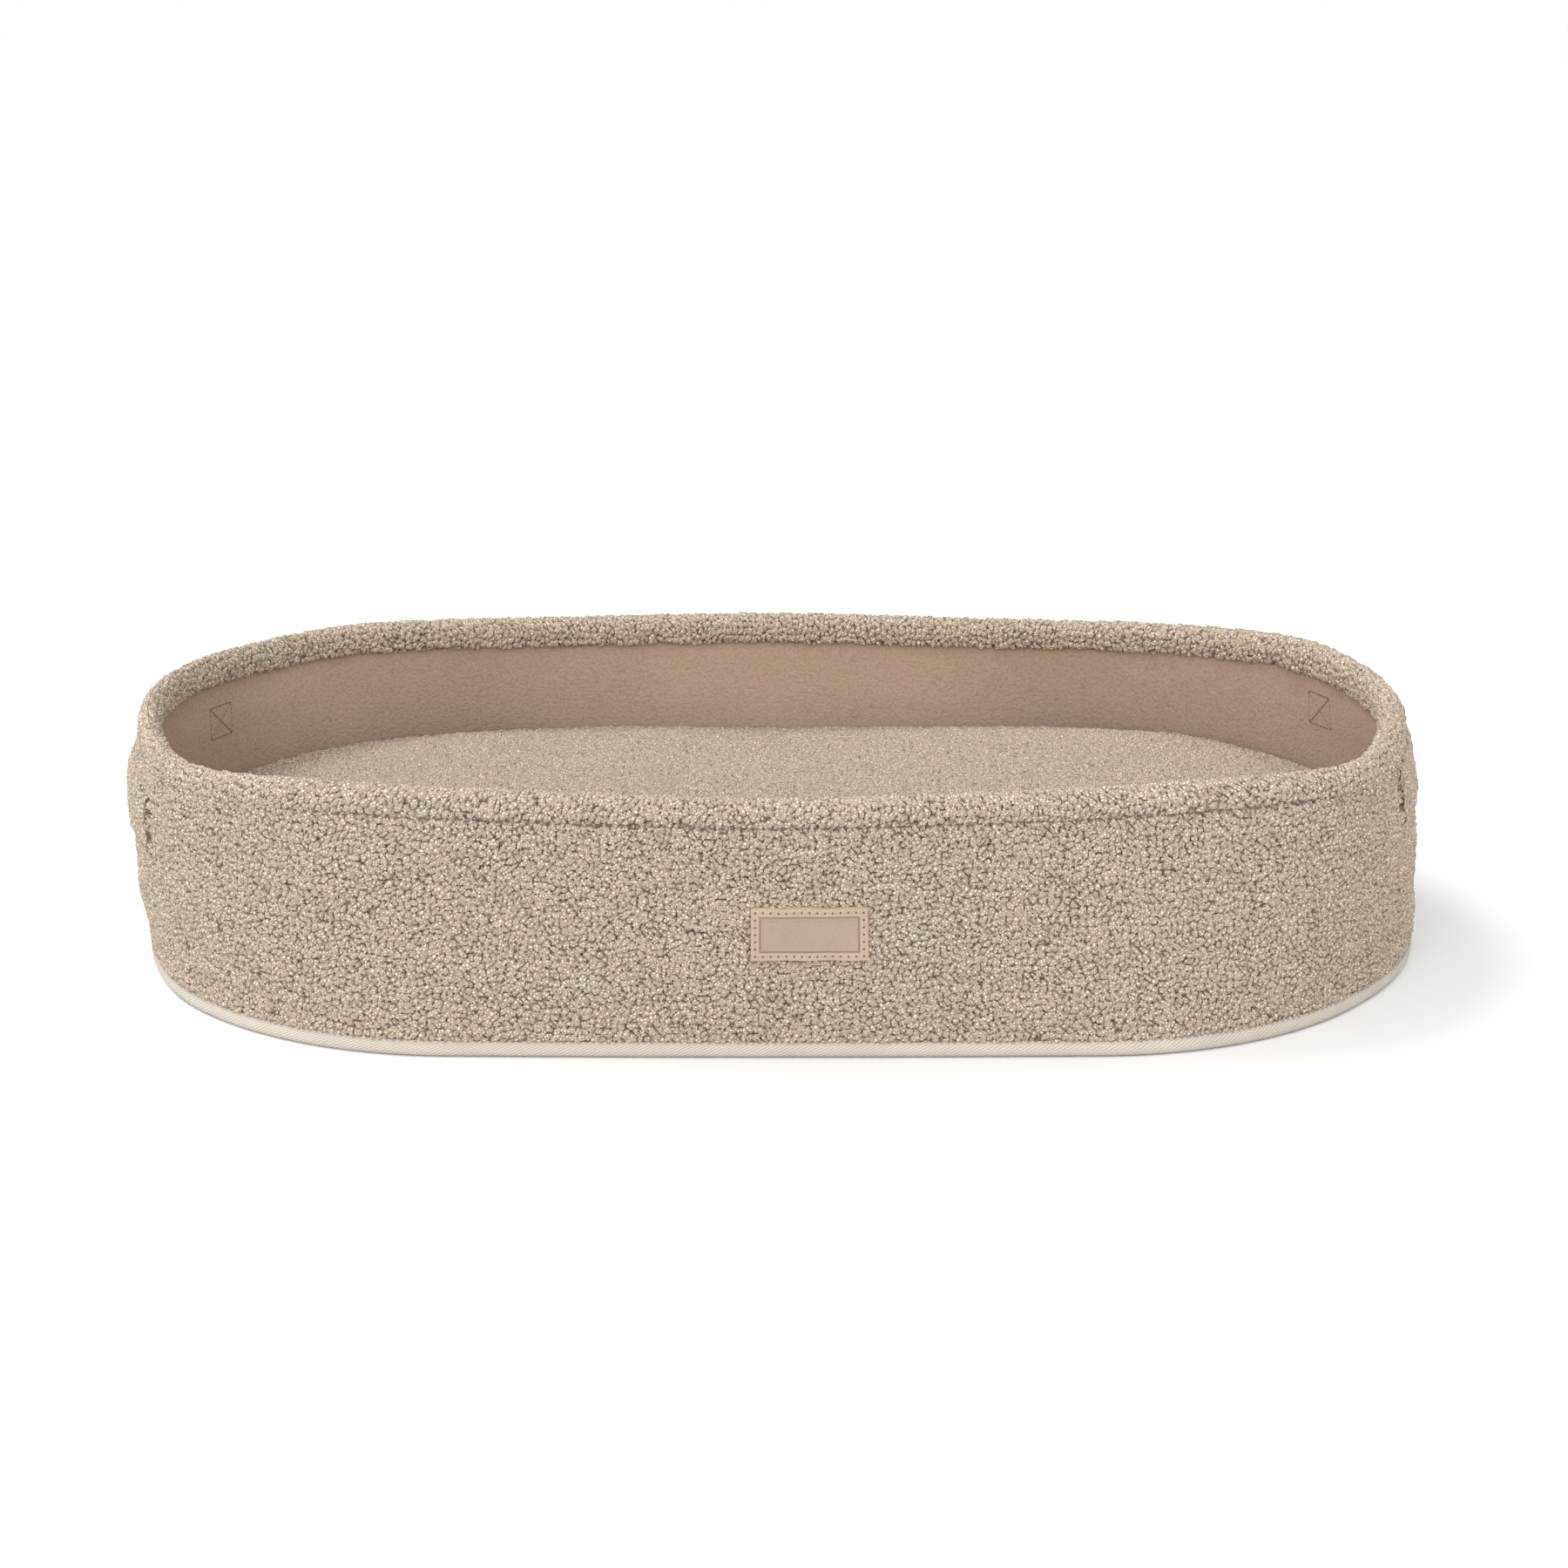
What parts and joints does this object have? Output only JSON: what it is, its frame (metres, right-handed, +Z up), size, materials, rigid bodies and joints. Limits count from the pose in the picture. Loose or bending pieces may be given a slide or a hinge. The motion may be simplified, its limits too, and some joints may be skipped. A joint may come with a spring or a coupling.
{
  "type": "baby changing pod",
  "caption": "Soft oval basket with a folded looped-pile rim, two carry straps and a removable zipped changing mat inside.",
  "frame": {"origin": "on the floor under the middle of the basket", "axes": "+X along the length, towards the right-hand strap as seen from the label side; +Y to the far side, away from the label; +Z up"},
  "size_m": [0.7672, 0.4046, 0.1467],
  "materials": {
    "boucle": "curly looped pile",
    "mat_boucle": "flat looped pile",
    "faux_leather": "matte pebbled grain",
    "patch_leather": "smooth matte, pressed",
    "cream_tape": "cotton twill",
    "cream_thread": "spun thread",
    "brown_thread": "spun thread",
    "webbing": "plain weave",
    "foam": "open-cell foam, matte",
    "canvas": "plain cotton weave",
    "board": "matte fibre board",
    "zip_metal": "satin"
  },
  "bodies": {
    "pod": {"outer_cover": "boucle", "wall_stiffener": "foam", "wall_lining": "faux_leather", "bottom_binding": "cream_tape", "base_cover": "canvas", "base_board": "board", "base_lining": "faux_leather", "rim_stitching": "brown_thread", "binding_stitching": "cream_thread", "label_patch": "patch_leather", "label_stitching": "brown_thread", "handle_left_front_tab": "boucle", "handle_left_front_stitching": "brown_thread", "handle_left_back_tab": "boucle", "handle_left_back_stitching": "brown_thread", "handle_right_front_tab": "boucle", "handle_right_front_stitching": "brown_thread", "handle_right_back_tab": "boucle", "handle_right_back_stitching": "brown_thread"},
    "mat": {"mat_foam": "foam", "mat_top": "mat_boucle", "mat_side_band": "faux_leather", "mat_underside": "canvas", "zip_tape": "cream_tape", "zip_teeth": "zip_metal", "zip_top_stop": "zip_metal", "zip_bottom_stop": "zip_metal"},
    "handle_left": {"handle_left_grip": "boucle", "handle_left_webbing": "webbing"},
    "handle_right": {"handle_right_grip": "boucle", "handle_right_webbing": "webbing"},
    "zip_slider": {"zip_slider": "zip_metal"}
  },
  "joints": [
    {"name": "mat_lift", "type": "slide", "parent": "pod", "child": "mat", "axis": [0, 0, 1], "range_m": [0, 0.16]},
    {"name": "handle_left_pull", "type": "slide", "parent": "pod", "child": "handle_left", "axis": [-0.8, 0, 0.6], "range_m": [0, 0.02]},
    {"name": "handle_right_pull", "type": "slide", "parent": "pod", "child": "handle_right", "axis": [0.8, 0, 0.6], "range_m": [0, 0.02]},
    {"name": "zip_run", "type": "hinge", "parent": "mat", "child": "zip_slider", "pos_m": [0, -1.1965, 0.03715], "axis": [0, 0, 1], "range_deg": [0, 14.4]}
  ]
}
